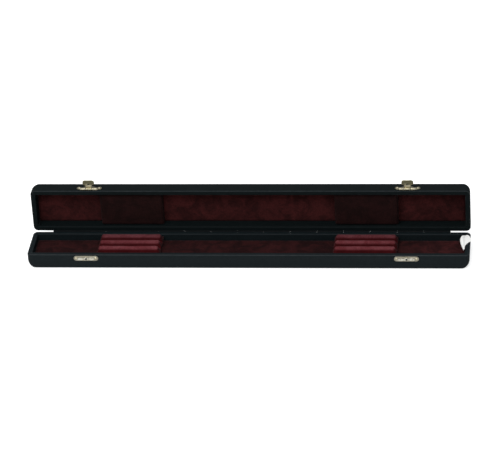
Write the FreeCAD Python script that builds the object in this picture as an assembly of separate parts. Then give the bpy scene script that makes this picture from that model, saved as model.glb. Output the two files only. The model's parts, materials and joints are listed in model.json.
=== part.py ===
import FreeCAD
import Part
import math
import os

from FreeCAD import Vector

os.makedirs("parts", exist_ok=True)

# Case for conducting batons: two leatherette-covered wooden trays on a long hinge, lined
# with plush, with the lid standing open at a right angle. Sizes are in millimetres.
# X runs along the case, Y to the back, Z up. The origin is at the middle of the underside.

# The case as a whole
case_length = 450.0
case_width = 47.0
base_height = 16.0
lid_height = 16.2
rim_gap = 0.3  # between the rims when the lid is shut
open_angle = 90.0  # how far the lid stands open here
fittings_shift = -1.2  # the latches, rests and pads sit a little left of the middle

# Outside roundings, over the leatherette
end_radius = 9.0  # where an end runs into the flat of the tray
corner_radius = 4.8  # the upright corners
edge_radius = 1.5  # along the long closed edges
rim_radius = 1.4  # outer edge of the rim
rim_inner_radius = 0.9

# Wood and its covering
covering = 0.6
wall_wood = 3.8
base_board = 5.0
lid_board = 2.2
panel_step = 0.2  # how far the glued-on outer sheet stands over the turned-in covering
panel_margin = 5.0  # from the sides of the tray to the sheet
panel_end_margin = 3.0  # from the start of the end rounding to the sheet
panel_corner = 3.0  # clipped off each corner of the sheet
panel_seam = 0.15

# Lining
base_card = 1.6
base_plush = 1.8
lid_card = 0.8
lid_plush = 1.1
lining_clearance = 0.15
lining_bevel = 0.4

# Ribbed rests for the batons, in the base
rest_end = 104.5  # from the end of the case to the middle of a rest
rest_length = 64.5
rest_ribs = 3
rest_rise = 2.1  # of the ribs over the rim
rest_groove = 4.0  # depth of the grooves between the ribs
rest_end_radius = 4.0
rest_plush = 1.2
rest_clearance = 0.3
rib_flat = 0.5  # share of a rib's width that is flat on the block inside
block_bevel = 2.0

# Pads opposite the rests, in the lid
pad_thickness = 7.7  # at the long edges
pad_crown = 0.6  # how much the middle of a pad stands over its long edges
pad_end_radius = 2.4
pad_plush = 1.2
pad_clearance = 0.3

# Long hinge on the back
hinge_end = 20.5  # from the end of the case to the end of the hinge
hinge_leaf = 10.0  # from the axis to the leaf's far edge
hinge_sheet = 0.3
hinge_barrel = 0.8
hinge_pin_radius = 0.4
hinge_pin_clearance = 0.06
hinge_axis_out = 0.32  # from the back of the case to the axis, so that the barrel lies
# in the groove between the rounded rims
knuckle_count = 15
knuckle_gap = 0.25
knuckle_clearance = 0.35

# Nails
hinge_nail_count = 8
hinge_nail_end = 14.0  # from the leaf's end to its first nail
hinge_nail_drop = 6.2  # from the axis to the row of nails
hinge_nail_head = 1.15
hinge_nail_reach = 4.3
latch_nail_head = 1.1
latch_nail_reach = 3.8
nail_shank = 0.9  # square
nail_head_height = 0.45
nail_head_top = 0.55  # share of the head's width that is flat

# Latch plates on the lid
latch_end = 62.0  # from the end of the case to the middle of a latch
latch_width = 26.0
latch_drop = 8.4  # from the rim to the plate's far edge
latch_corner = 1.6
latch_nail_inset = 2.6
latch_nail_drop = 5.6
brass_sheet = 0.6
barrel_radius = 1.3
barrel_drop = 1.8  # from the rim to the barrel's axis
barrel_seat = 0.05
latch_pin_radius = 0.55
latch_pin_clearance = 0.05
ear_length = 5.2  # each of the two barrels on the plate

# Latch levers, measured from the barrel's axis
lever_neck = 6.2
lever_gap = 0.25
lever_sheet = 0.7
lever_tab = 12.0
lever_flare = 1.6  # length over which the neck widens into the tab
lever_straight = 8.7
lever_corner = 2.0
lip_radius = 2.15
lip_angle = 45.0

# Catch plates on the base
catch_width = 25.0
catch_top = 0.4  # from the rim to the plate
catch_height = 6.3
catch_corner = 2.6
catch_nail_inset = 2.4
band_rise = 0.35  # the pressed-up band along the lower half
band_height = 2.2
band_margin = 1.0
keeper_width = 3.6
keeper_height = 1.8
keeper_drop = 4.0  # from the rim to the keeper's middle
keeper_rise = 2.75
keeper_bevel = 0.6
window_clearance = 0.3

# Blank paper tag over the right-hand end of the base
tag_width = 14.0
tag_middle = 8.0  # from the middle of the case towards the back
tag_paper = 0.15
tag_overhang = 1.4
tag_rim_clearance = 0.05
tag_rise_radius = 2.6
tag_rise_angle = 50.0
tag_curl_radius = 3.3
tag_curl_angle = 150.0
tag_tail = 4.0

# Worked out from the sizes above
wall = wall_wood + 2.0 * covering
panel_sheet = covering + panel_step
inner_length = case_length - 2.0 * wall
inner_width = case_width - 2.0 * wall
back_y = case_width / 2.0
hinge_axis_y = back_y + hinge_axis_out
hinge_axis_z = base_height + rim_gap / 2.0
barrel_out = barrel_seat + barrel_radius
hinge_length = case_length - 2.0 * hinge_end
rest_offset = case_length / 2.0 - rest_end
latch_offset = case_length / 2.0 - latch_end
cut_margin = wall  # how far a cutting shape reaches past what it cuts
sides = (("left", -1.0), ("right", 1.0))
x_axis = Vector(1, 0, 0)
y_axis = Vector(0, 1, 0)
small = 1e-3

document = FreeCAD.newDocument("baton_case")
made = []


def save(name, shape):
    shape.exportStep("parts/" + name + ".step")
    made.append((name, len(shape.Solids), shape.isValid()))


# Plain shapes

def box(x_low, x_high, y_low, y_high, z_low, z_high):
    corner = Vector(x_low, y_low, z_low)
    return Part.makeBox(x_high - x_low, y_high - y_low, z_high - z_low, corner)


def rod(radius, x_low, x_high, y, z):
    return Part.makeCylinder(radius, x_high - x_low, Vector(x_low, y, z), x_axis)


def flat_sided_rod(across, x_low, x_high, y, z):
    # Eight flats, each at half the given width from the axis
    reach = across / 2.0 / math.cos(math.pi / 8.0)
    points = []
    for index in range(9):
        angle = math.pi / 8.0 + index * math.pi / 4.0
        points.append(Vector(x_low, y + reach * math.cos(angle), z + reach * math.sin(angle)))
    return Part.Face(Part.makePolygon(points)).extrude(Vector(x_high - x_low, 0, 0))


def fuse(shapes):
    return shapes[0].multiFuse(shapes[1:]).removeSplitter()


def moved(shape, x=0.0, y=0.0, z=0.0):
    shifted = shape.copy()
    shifted.translate(Vector(x, y, z))
    return shifted


def edges_at_height(shape, z):
    return [edge for edge in shape.Edges
            if abs(edge.BoundBox.ZMin - z) < small and abs(edge.BoundBox.ZMax - z) < small]


def upright_edges(shape):
    return [edge for edge in shape.Edges
            if edge.BoundBox.XLength < small and edge.BoundBox.YLength < small]


def slab(length, width, z_low, z_high):
    return box(-length / 2, length / 2, -width / 2, width / 2, z_low, z_high)


def outline_face(points, arcs=()):
    # Closed outline through the points. Where an index is in arcs, the next three points
    # from it are one arc.
    edges = []
    index = 0
    while index < len(points):
        after = (index + 1) % len(points)
        if index in arcs:
            end = (index + 2) % len(points)
            edges.append(Part.Arc(points[index], points[after], points[end]).toShape())
            index += 2
        else:
            edges.append(Part.makeLine(points[index], points[after]))
            index += 1
    return Part.Face(Part.Wire(edges))


def strip_face(start, heading, steps, thickness):
    # A bent strip seen edge on: straight steps and arcs, each side at half the thickness.
    # A step is (length, 0) or (radius, turn), and a positive turn bends to the left.
    edges_left = []
    edges_right = []
    point = Vector(start[0], 0, start[1])
    angle = math.radians(heading)
    for size, turn in steps:
        ahead = Vector(math.cos(angle), 0, math.sin(angle))
        left = Vector(-math.sin(angle), 0, math.cos(angle))
        if turn == 0.0:
            end = point + ahead * size
            for store, side in ((edges_left, 0.5), (edges_right, -0.5)):
                shift = left * (side * thickness)
                store.append(Part.makeLine(point + shift, end + shift))
        else:
            bend = math.copysign(1.0, turn)
            centre = point + left * (bend * size)
            swing = math.radians(turn)

            def spoke(part):
                along = angle + swing * part
                return Vector(math.sin(along), 0, -math.cos(along)) * bend

            for store, side in ((edges_left, 0.5), (edges_right, -0.5)):
                radius = size - bend * side * thickness
                arc = Part.Arc(centre + spoke(0.0) * radius, centre + spoke(0.5) * radius,
                               centre + spoke(1.0) * radius)
                store.append(arc.toShape())
            end = centre + spoke(1.0) * size
            angle += swing
        point = end
    ends = [Part.makeLine(edges_left[0].Vertexes[0].Point, edges_right[0].Vertexes[0].Point),
            Part.makeLine(edges_left[-1].Vertexes[-1].Point, edges_right[-1].Vertexes[-1].Point)]
    outline = Part.Wire(Part.__sortEdges__(edges_left + edges_right + ends))
    return Part.Face(outline)


# A tray is drawn with its rim at Z = 0, its closed side below and its hinge side towards
# +Y. Base and lid are the same tray at two depths, so each part is drawn once and placed.

def place_base(shape):
    return moved(shape, z=base_height)


def place_lid(shape):
    turned = shape.mirror(Vector(0, 0, 0), Vector(0, 0, 1))
    turned.translate(Vector(0, 0, base_height + rim_gap))
    turned.rotate(Vector(0, hinge_axis_y, hinge_axis_z), x_axis, -open_angle)
    return turned


trays = {
    "base": {"height": base_height, "board": base_board, "card": base_card,
             "plush": base_plush, "place": place_base},
    "lid": {"height": lid_height, "board": lid_board, "card": lid_card,
            "plush": lid_plush, "place": place_lid},
}


def board_top(tray):
    return panel_sheet + tray["board"] - tray["height"]


def card_top(tray):
    return board_top(tray) + tray["card"]


def plush_top(tray):
    return card_top(tray) + tray["plush"]


def end_profile(half, z_low, z_top, radius):
    # Side view of a tray, its two lower corners rounded
    slant = radius * (1.0 - math.sqrt(0.5))
    left = [(-half, z_top), (-half, z_low + radius), (-half + slant, z_low + slant),
            (-half + radius, z_low)]
    right = [(-x, z) for x, z in reversed(left)]
    points = [Vector(x, 0, z) for x, z in left + right]
    return outline_face(points, arcs=(1, 4))


def corner_fillets(form, z_low, z_top, upright, closed):
    # Upright corners at one radius, the long closed edges at a smaller one, and the edges
    # of the end roundings between them running evenly from one to the other
    picked = []
    for number, edge in enumerate(form.Edges, 1):
        reach = edge.BoundBox
        if reach.YLength > small or reach.ZMin > z_top - small:
            continue
        if reach.XLength < small:
            picked.append((number, upright, upright))
        elif reach.ZLength < small:
            picked.append((number, closed, closed))
        elif abs(edge.valueAt(edge.FirstParameter).z - z_low) < small:
            picked.append((number, closed, upright))
        else:
            picked.append((number, upright, closed))
    source = document.addObject("Part::Feature", "form")
    source.Shape = form
    fillet = document.addObject("Part::Fillet", "rounded")
    fillet.Base = source
    fillet.Edges = picked
    document.recompute()
    return fillet.Shape.Solids[0]


def tray_sides(tray, inset):
    # Length of a tray's half, its width and its lowest level, drawn in by the inset
    half = case_length / 2.0 - inset
    return half, case_width - 2.0 * inset, panel_step - tray["height"] + inset


def extruded_ends(tray, inset):
    half, width, z_low = tray_sides(tray, inset)
    profile = end_profile(half, z_low, -inset, end_radius - inset)
    profile.translate(Vector(0, -width / 2.0, 0))
    return profile.extrude(Vector(0, width, 0))


def hollow(tray, inset):
    # What is taken out of a tray, from the top of its board up
    length = inner_length + 2.0 * inset
    return slab(length, inner_width + 2.0 * inset, board_top(tray), cut_margin)


def covered_tray(tray):
    # Outside of the leatherette, with the rim eased on both sides
    half, width, z_low = tray_sides(tray, 0.0)
    form = corner_fillets(extruded_ends(tray, 0.0), z_low, 0.0, corner_radius, edge_radius)
    form = form.makeFillet(rim_radius, edges_at_height(form, 0.0))
    form = form.cut(hollow(tray, 0.0))
    inside = [edge for edge in edges_at_height(form, 0.0)
              if abs(edge.BoundBox.Center.x) < inner_length / 2.0 + small
              and abs(edge.BoundBox.Center.y) < inner_width / 2.0 + small]
    return form.makeFillet(rim_inner_radius, inside)


def wooden_tray(tray):
    # The wood under the covering, with upright corners rounded and its other edges square
    half, width, z_low = tray_sides(tray, covering)
    plan = slab(2.0 * half, width, z_low, -covering)
    plan = plan.makeFillet(corner_radius - covering, upright_edges(plan))
    return extruded_ends(tray, covering).common(plan).cut(hollow(tray, covering))


def outer_sheet(tray, seam):
    # The flat sheet glued over the closed side, its corners clipped
    length = case_length - 2.0 * (end_radius + panel_end_margin - seam)
    width = case_width - 2.0 * (panel_margin - seam)
    low = -tray["height"]
    sheet = slab(length, width, low, low + panel_sheet)
    return sheet.makeChamfer(panel_corner, upright_edges(sheet))


# Nails stand on a wall that faces towards -Y or +Y. Each is drawn along +Y, head outermost.

def octagon(radius, y):
    turns = [math.pi / 8.0 + index * math.pi / 4.0 for index in range(9)]
    points = [Vector(radius * math.cos(turn), y, radius * math.sin(turn)) for turn in turns]
    return Part.makePolygon(points)


def nail(head, reach):
    side = nail_shank / 2.0
    cap = Part.makeLoft([octagon(head, 0.0), octagon(head * nail_head_top, nail_head_height)],
                        True, True)
    return fuse([cap, box(-side, side, -reach, nail_head_height / 2.0, -side, side)])


def nails(places, head, reach, outward):
    one = nail(head, reach)
    if outward < 0:
        one.rotate(Vector(0, 0, 0), x_axis, 180.0)
    return Part.Compound([moved(one, *place) for place in places])


def nail_holes(places, reach, outward):
    side = nail_shank / 2.0
    deep = sorted((-outward * reach, outward * cut_margin))
    return Part.Compound([box(x - side, x + side, y + deep[0], y + deep[1], z - side, z + side)
                          for x, y, z in places])


def hinge_nail_places():
    first = -hinge_length / 2.0 + hinge_nail_end
    pitch = -2.0 * first / (hinge_nail_count - 1)
    y = back_y + hinge_sheet
    z = rim_gap / 2.0 - hinge_nail_drop
    return [(first + index * pitch, y, z) for index in range(hinge_nail_count)]


def latch_nail_places(width, inset, drop):
    reach = width / 2.0 - inset
    y = -back_y - brass_sheet
    return [(fittings_shift + side * latch_offset + end, y, -drop)
            for name, side in sides for end in (-reach, reach)]


def hinge_holes():
    return nail_holes(hinge_nail_places(), hinge_nail_reach, 1.0)


nail_rows = {
    "base": latch_nail_places(catch_width, catch_nail_inset, catch_top + catch_height / 2.0),
    "lid": latch_nail_places(latch_width, latch_nail_inset, latch_nail_drop),
}


def latch_holes(name):
    return nail_holes(nail_rows[name], latch_nail_reach, -1.0)


def make_tray(name, tray):
    place = tray["place"]
    wood = wooden_tray(tray)

    # Covering: over the outside and the rim and down the inner walls to the board
    skin = covered_tray(tray).cut(wood).cut(outer_sheet(tray, panel_seam))
    skin = skin.cut(hinge_holes()).cut(latch_holes(name))
    save(name + "_side_covering", place(skin))
    save(name + "_outer_sheet", place(outer_sheet(tray, 0.0)))

    # Wood: two rails over the whole length, two end blocks between them, and the board
    wood = wood.cut(hinge_holes()).cut(latch_holes(name))
    long = case_length
    rail = inner_width / 2.0 + covering
    top = board_top(tray)
    frame = wood.common(box(-long, long, -long, long, top, long))
    middle = frame.common(box(-long, long, -rail, rail, -long, long))
    save(name + "_board", place(wood.common(box(-long, long, -long, long, -long, top))))
    save(name + "_front_rail", place(frame.common(box(-long, long, -long, -rail, -long, long))))
    save(name + "_rear_rail", place(frame.common(box(-long, long, rail, long, -long, long))))
    save(name + "_left_end", place(middle.common(box(-long, 0, -long, long, -long, long))))
    save(name + "_right_end", place(middle.common(box(0, long, -long, long, -long, long))))

    # Lining: plush over card on the board
    length = inner_length - 2.0 * lining_clearance
    width = inner_width - 2.0 * lining_clearance
    save(name + "_lining_card", place(slab(length, width, top, card_top(tray))))
    plush = slab(length, width, card_top(tray), plush_top(tray))
    plush = plush.makeChamfer(lining_bevel, edges_at_height(plush, plush_top(tray)))
    save(name + "_lining", place(plush))


def swept(points, arcs, axis, length):
    # Outline in X-Z swept along Y, or in Y-Z swept along X, centred on the other axis
    if axis == "y":
        face = outline_face([Vector(a, -length / 2.0, z) for a, z in points], arcs)
        return face.extrude(Vector(0, length, 0))
    face = outline_face([Vector(-length / 2.0, a, z) for a, z in points], arcs)
    return face.extrude(Vector(length, 0, 0))


def rest_outside(height):
    # Three crowned ribs side by side, their ends rounded over
    full = inner_width - 2.0 * rest_clearance
    pitch = full / rest_ribs
    low = height - rest_groove
    points = [(-full / 2.0, 0.0), (-full / 2.0, low)]
    arcs = []
    for index in range(rest_ribs):
        arcs.append(len(points) - 1)
        middle = -full / 2.0 + (index + 0.5) * pitch
        points += [(middle, height), (middle + pitch / 2.0, low)]
    points.append((full / 2.0, 0.0))
    ribs = swept(points, arcs, "x", rest_length)
    half = rest_length / 2.0
    slant = rest_end_radius * (1.0 - math.sqrt(0.5))
    left = [(-half, 0.0), (-half, height - rest_end_radius), (-half + slant, height - slant),
            (-half + rest_end_radius, height)]
    right = [(-x, z) for x, z in reversed(left)]
    return ribs.common(swept(left + right, (1, 4), "y", full + cut_margin))


def rest_block(height):
    # The wooden block inside: flat-topped ribs with straight flanks and bevelled ends
    pitch = (inner_width - 2.0 * rest_clearance) / rest_ribs
    full = rest_ribs * pitch - 2.0 * rest_plush
    top = height - rest_plush
    low = top - rest_groove
    flat = pitch * rib_flat / 2.0
    points = [(-full / 2.0, 0.0), (-full / 2.0, low)]
    for index in range(rest_ribs):
        middle = (index + 0.5 - rest_ribs / 2.0) * pitch
        edge = min(middle + pitch / 2.0, full / 2.0)
        points += [(middle - flat, top), (middle + flat, top), (edge, low)]
    points.append((full / 2.0, 0.0))
    half = rest_length / 2.0 - rest_plush
    left = [(-half, 0.0), (-half, top - block_bevel), (-half + block_bevel, top)]
    right = [(-x, z) for x, z in reversed(left)]
    ribs = swept(points, (), "x", 2.0 * half)
    return ribs.common(swept(left + right, (), "y", full + cut_margin))


def make_rests():
    seat = plush_top(trays["base"])
    block = rest_block(rest_rise - seat)
    plush = rest_outside(rest_rise - seat).cut(block)
    for name, side in sides:
        x = fittings_shift + side * rest_offset
        save("rest_block_" + name, place_base(moved(block, x, 0, seat)))
        save("rest_plush_" + name, place_base(moved(plush, x, 0, seat)))


def crowned_pad():
    # Highest along its middle, with its two ends rounded over
    width = inner_width / 2.0 - pad_clearance
    crest = pad_thickness + pad_crown
    crown = swept([(-width, 0.0), (-width, pad_thickness), (0.0, crest),
                   (width, pad_thickness), (width, 0.0)], (1,), "x", rest_length)
    half = rest_length / 2.0
    slant = pad_end_radius * (1.0 - math.sqrt(0.5))
    left = [(-half, 0.0), (-half, crest - pad_end_radius), (-half + slant, crest - slant),
            (-half + pad_end_radius, crest)]
    right = [(-x, z) for x, z in reversed(left)]
    return crown.common(swept(left + right, (1, 4), "y", 2.0 * width + cut_margin))


def make_pads():
    seat = plush_top(trays["lid"])
    length = rest_length - 2.0 * pad_plush
    width = inner_width - 2.0 * (pad_clearance + pad_plush)
    foam = slab(length, width, 0.0, pad_thickness - pad_plush)
    plush = crowned_pad().cut(foam)
    for name, side in sides:
        x = fittings_shift + side * rest_offset
        save("pad_foam_" + name, place_lid(moved(foam, x, 0, seat)))
        save("pad_plush_" + name, place_lid(moved(plush, x, 0, seat)))


def rolled_plate(length, drop, sheet, radius, bore, out):
    # A flat strip against the plane Y = 0 whose top edge is rolled into a barrel
    plate = box(-length / 2, length / 2, 0.0, sheet, -drop, 0.0)
    barrel = rod(radius, -length / 2, length / 2, out, 0.0)
    return fuse([plate, barrel]).cut(flat_sided_rod(2.0 * bore, -length, length, out, 0.0))


def knuckle_slots(spans, radius, clearance, gap):
    slots = [box(low - gap, high + gap, -radius, 4.0 * radius, -radius - clearance, 2.0 * radius)
             for low, high in spans]
    return Part.Compound(slots)


def make_hinge():
    pitch = hinge_length / knuckle_count
    edges = [-hinge_length / 2.0 + index * pitch for index in range(knuckle_count + 1)]
    spans = list(zip(edges[:-1], edges[1:]))
    strip = rolled_plate(hinge_length, hinge_leaf, hinge_sheet, hinge_barrel,
                         hinge_pin_radius + hinge_pin_clearance, hinge_axis_out)
    for name, others in (("base", spans[1::2]), ("lid", spans[0::2])):
        slots = knuckle_slots(others, hinge_barrel, knuckle_clearance, knuckle_gap / 2.0)
        leaf = moved(strip.cut(slots), 0, back_y, rim_gap / 2.0).cut(hinge_holes())
        place = trays[name]["place"]
        save("hinge_leaf_" + name, place(leaf))
        row = nails(hinge_nail_places(), hinge_nail_head, hinge_nail_reach, 1.0)
        save("hinge_nails_" + name, place(row))
    half = hinge_length / 2.0
    pin = rod(hinge_pin_radius, -half, half, hinge_axis_y, hinge_axis_z)
    save("hinge_pin", pin)


def latch_plate():
    # Rolled brass plate facing -Y, its barrel cut away where the lever turns
    ears = lever_neck / 2.0 + lever_gap + ear_length
    plate = rolled_plate(latch_width, latch_drop - barrel_drop, brass_sheet, barrel_radius,
                         latch_pin_radius + latch_pin_clearance, barrel_out)
    far = [edge for edge in plate.Edges
           if edge.BoundBox.XLength < small and edge.BoundBox.ZLength < small
           and edge.BoundBox.ZMax < small - latch_drop + barrel_drop]
    plate = plate.makeFillet(latch_corner, far)
    spans = [(-latch_width, -ears), (ears, latch_width),
             (-lever_neck / 2.0, lever_neck / 2.0)]
    plate = plate.cut(knuckle_slots(spans, barrel_radius, lever_gap, lever_gap))
    plate.rotate(Vector(0, 0, 0), Vector(0, 0, 1), 180.0)
    return moved(plate, 0, -back_y, -barrel_drop)


def lever_outline(tip):
    # The lever laid flat: a narrow neck widening into a tab with round corners
    neck = lever_neck / 2.0
    tab = lever_tab / 2.0
    flare = barrel_radius + lever_gap
    right = [(neck, -barrel_radius), (neck, flare), (tab, flare + lever_flare), (tab, tip)]
    left = [(-x, z) for x, z in reversed(right)]
    blank = swept(right + left, (), "y", 8.0 * barrel_radius)
    corners = [edge for edge in blank.Edges
               if edge.BoundBox.YLength > small and edge.BoundBox.ZMin > tip - small]
    return blank.makeFillet(lever_corner, corners)


def lever():
    # Drawn shut: the barrel's axis along X through the origin, the sheet running up +Z on
    # the -Y side, its end turned out into a lip
    middle = barrel_radius - lever_sheet / 2.0
    steps = [(lever_straight, 0.0), (lip_radius, lip_angle)]
    face = strip_face((-middle, 0.0), 90.0, steps, lever_sheet)
    sheet = face.extrude(Vector(0, lever_tab, 0))
    sheet.translate(Vector(0, -lever_tab / 2.0, 0))
    sheet.rotate(Vector(0, 0, 0), Vector(0, 0, 1), 90.0)
    sheet = sheet.common(lever_outline(sheet.BoundBox.ZMax))
    barrel = rod(barrel_radius, -lever_neck / 2.0, lever_neck / 2.0, 0.0, 0.0)
    across = keeper_width / 2.0 + window_clearance
    high = keeper_height / 2.0 + window_clearance
    level = barrel_drop + rim_gap + keeper_drop
    window = box(-across, across, -lever_tab, 0.0, level - high, level + high)
    bore = 2.0 * (latch_pin_radius + latch_pin_clearance)
    body = fuse([barrel, sheet]).cut(window)
    return body.cut(flat_sided_rod(bore, -lever_tab, lever_tab, 0.0, 0.0))


def end_edges(shape):
    return [edge for edge in shape.Edges
            if edge.BoundBox.XLength < small and edge.BoundBox.ZLength < small]


def catch_plate():
    # Base plate with a pressed-up band and the keeper that the lever's window snaps over
    low = -catch_top - catch_height
    half = catch_width / 2.0
    front = -back_y
    face = front - brass_sheet
    plate = box(-half, half, face, front, low, -catch_top)
    plate = plate.makeFillet(catch_corner, end_edges(plate))
    reach = half - 2.0 * catch_nail_inset - band_margin
    band = box(-reach, reach, face - band_rise, face, low + band_margin,
               low + band_margin + band_height)
    band = band.makeChamfer(band_rise, end_edges(band))
    across = keeper_width / 2.0
    keeper = box(-across, across, front - keeper_rise, face,
                 -keeper_drop - keeper_height / 2.0, -keeper_drop + keeper_height / 2.0)
    crown = [edge for edge in keeper.Edges if edge.BoundBox.YMax < front - keeper_rise + small]
    return fuse([plate, band, keeper.makeChamfer(keeper_bevel, crown)])


def make_latches():
    middle = latch_offset - fittings_shift
    plate = latch_plate().cut(moved(latch_holes("lid"), middle))
    catch = catch_plate().cut(moved(latch_holes("base"), middle))
    ears = lever_neck / 2.0 + lever_gap + ear_length
    pin = rod(latch_pin_radius, -ears, ears, -back_y - barrel_out, -barrel_drop)
    shut = lever()
    shut.rotate(Vector(0, 0, 0), x_axis, open_angle)
    raised = moved(shut, 0, -back_y - barrel_out, -barrel_drop)
    for name, side in sides:
        x = fittings_shift + side * latch_offset
        save("latch_plate_" + name, place_lid(moved(plate, x)))
        save("latch_pin_" + name, place_lid(moved(pin, x)))
        save("latch_lever_" + name, place_lid(moved(raised, x)))
        save("catch_plate_" + name, place_base(moved(catch, x)))
    for name, tray in trays.items():
        row = nails(nail_rows[name], latch_nail_head, latch_nail_reach, -1.0)
        save("latch_nails_" + name, tray["place"](row))


def make_tag():
    # A blank slip of paper lying over the rim, rising inside it and curling down
    start = (case_length / 2.0 + tag_overhang, tag_rim_clearance + tag_paper / 2.0)
    on_rim = wall + tag_overhang
    steps = [(on_rim, 0.0), (tag_rise_radius, -tag_rise_angle),
             (tag_curl_radius, tag_curl_angle), (tag_tail, 0.0)]
    face = strip_face(start, 180.0, steps, tag_paper)
    slip = face.extrude(Vector(0, tag_width, 0))
    save("paper_tag", place_base(moved(slip, 0, tag_middle - tag_width / 2.0, 0)))


for tray_name in trays:
    make_tray(tray_name, trays[tray_name])
make_rests()
make_pads()
make_hinge()
make_latches()
make_tag()

for name, count, valid in made:
    print(name, count, "valid" if valid else "not valid")
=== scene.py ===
import json
import math

import bmesh
import bpy
from mathutils import Matrix, Vector, noise


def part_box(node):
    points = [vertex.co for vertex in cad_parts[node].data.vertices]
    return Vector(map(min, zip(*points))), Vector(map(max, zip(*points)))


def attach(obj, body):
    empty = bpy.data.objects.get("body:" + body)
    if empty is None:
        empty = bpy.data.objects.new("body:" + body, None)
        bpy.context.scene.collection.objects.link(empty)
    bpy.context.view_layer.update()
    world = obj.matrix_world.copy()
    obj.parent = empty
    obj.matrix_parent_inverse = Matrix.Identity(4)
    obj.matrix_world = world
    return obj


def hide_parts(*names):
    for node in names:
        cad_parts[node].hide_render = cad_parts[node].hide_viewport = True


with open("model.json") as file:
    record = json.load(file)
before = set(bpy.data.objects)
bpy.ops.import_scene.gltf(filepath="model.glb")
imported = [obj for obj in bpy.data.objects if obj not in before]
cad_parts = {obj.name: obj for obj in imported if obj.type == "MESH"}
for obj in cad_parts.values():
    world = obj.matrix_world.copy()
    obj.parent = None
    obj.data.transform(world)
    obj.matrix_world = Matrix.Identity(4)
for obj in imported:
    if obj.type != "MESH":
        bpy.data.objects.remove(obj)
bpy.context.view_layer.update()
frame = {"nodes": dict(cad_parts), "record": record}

mm = 0.001
nodes = frame["nodes"]
baseLow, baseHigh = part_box("base_side_covering")
lidLow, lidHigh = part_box("lid_side_covering")
lidMiddle = (lidLow.z + lidHigh.z) / 2.0
halfLength = baseHigh.x
halfWidth = baseHigh.y
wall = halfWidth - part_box("base_rear_rail")[0].y + 0.6 * mm


# Both trays use the same places: x along the case, y across it with the hinge at +y, and
# the depth from the rim towards the closed side.
def onBase(x, y, depth):
    return Vector((x, y, baseHigh.z - depth))


def onLid(x, y, depth):
    return Vector((x, lidLow.y + depth, lidMiddle - y))


trays = {
    "base": {
        "place": onBase,
        "depth": baseHigh.z,
        "board": baseHigh.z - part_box("base_board")[1].z,
        "lining": baseHigh.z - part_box("base_lining")[1].z,
        "card": baseHigh.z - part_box("base_lining_card")[1].z,
    },
    "lid": {
        "place": onLid,
        "depth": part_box("lid_outer_sheet")[1].y - lidLow.y,
        "board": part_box("lid_board")[0].y - lidLow.y,
        "lining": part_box("lid_lining")[0].y - lidLow.y,
        "card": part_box("lid_lining_card")[0].y - lidLow.y,
    },
}
print("frame loaded,", len(nodes), "nodes")


# Mesh helpers

def makePiece(name, points, faces, material, body, replaced=(), rubbedAndHighlit=None):
    mesh = bpy.data.meshes.new(name)
    mesh.from_pydata([tuple(point) for point in points], [], faces)
    # Optional per-point share of the lighter rim tone: partly rubbing, partly a painted
    # highlight.
    if rubbedAndHighlit:
        mesh.attributes.new("rubbedAndHighlit", "FLOAT", "POINT").data.foreach_set("value", rubbedAndHighlit)
    work = bmesh.new()
    work.from_mesh(mesh)
    bmesh.ops.remove_doubles(work, verts=work.verts, dist=1e-7)
    bmesh.ops.recalc_face_normals(work, faces=work.faces)
    for face in work.faces:
        face.smooth = True
    work.to_mesh(mesh)
    work.free()
    mesh.materials.append(material)
    piece = bpy.data.objects.new(name, mesh)
    bpy.context.scene.collection.objects.link(piece)
    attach(piece, body)
    if replaced:
        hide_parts(*replaced)
    return piece


def roundedRing(halfX, halfY, corner, steps):
    # Points round a rectangle with round corners, always as many for the same steps
    sideSteps, endSteps, cornerSteps = steps
    innerX = halfX - corner
    innerY = halfY - corner
    centres = ((innerX, -innerY, -90), (innerX, innerY, 0), (-innerX, innerY, 90),
               (-innerX, -innerY, 180))
    ring = []
    for number, (centreX, centreY, start) in enumerate(centres):
        for step in range(cornerSteps + 1):
            angle = math.radians(start + 90.0 * step / cornerSteps)
            ring.append((centreX + corner * math.cos(angle), centreY + corner * math.sin(angle)))
        lastX, lastY = ring[-1]
        following = centres[(number + 1) % 4]
        angle = math.radians(following[2])
        nextX = following[0] + corner * math.cos(angle)
        nextY = following[1] + corner * math.sin(angle)
        straightSteps = endSteps if number % 2 == 0 else sideSteps
        for step in range(1, straightSteps):
            part = step / straightSteps
            ring.append((lastX + (nextX - lastX) * part, lastY + (nextY - lastY) * part))
    return ring


def loftFaces(ringCount, ringLength, closed):
    faces = []
    for ring in range(ringCount if closed else ringCount - 1):
        after = (ring + 1) % ringCount
        for index in range(ringLength):
            ahead = (index + 1) % ringLength
            faces.append((ring * ringLength + index, ring * ringLength + ahead,
                          after * ringLength + ahead, after * ringLength + index))
    return faces


def heightField(stepsX, stepsY, pointAt, bottomAt):
    # A closed piece: a shaped top over a grid, straight sides and a plain bottom
    points = []
    for row in range(stepsY + 1):
        for column in range(stepsX + 1):
            points.append(pointAt(column / stepsX, row / stepsY))
    offset = len(points)
    for row in range(stepsY + 1):
        for column in range(stepsX + 1):
            points.append(bottomAt(column / stepsX, row / stepsY))
    wide = stepsX + 1
    faces = []
    for row in range(stepsY):
        for column in range(stepsX):
            corner = row * wide + column
            faces.append((corner, corner + 1, corner + wide + 1, corner + wide))
            low = offset + corner
            faces.append((low, low + wide, low + wide + 1, low + 1))
    border = [column for column in range(wide)]
    border += [row * wide + stepsX for row in range(1, stepsY + 1)]
    border += [stepsY * wide + column for column in range(stepsX - 1, -1, -1)]
    border += [row * wide for row in range(stepsY - 1, 0, -1)]
    for index, here in enumerate(border):
        ahead = border[(index + 1) % len(border)]
        faces.append((here, offset + here, offset + ahead, ahead))
    return points, faces


def joinParts(parts):
    points = []
    faces = []
    for partPoints, partFaces in parts:
        offset = len(points)
        points += partPoints
        faces += [tuple(offset + index for index in face) for face in partFaces]
    return points, faces


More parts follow.
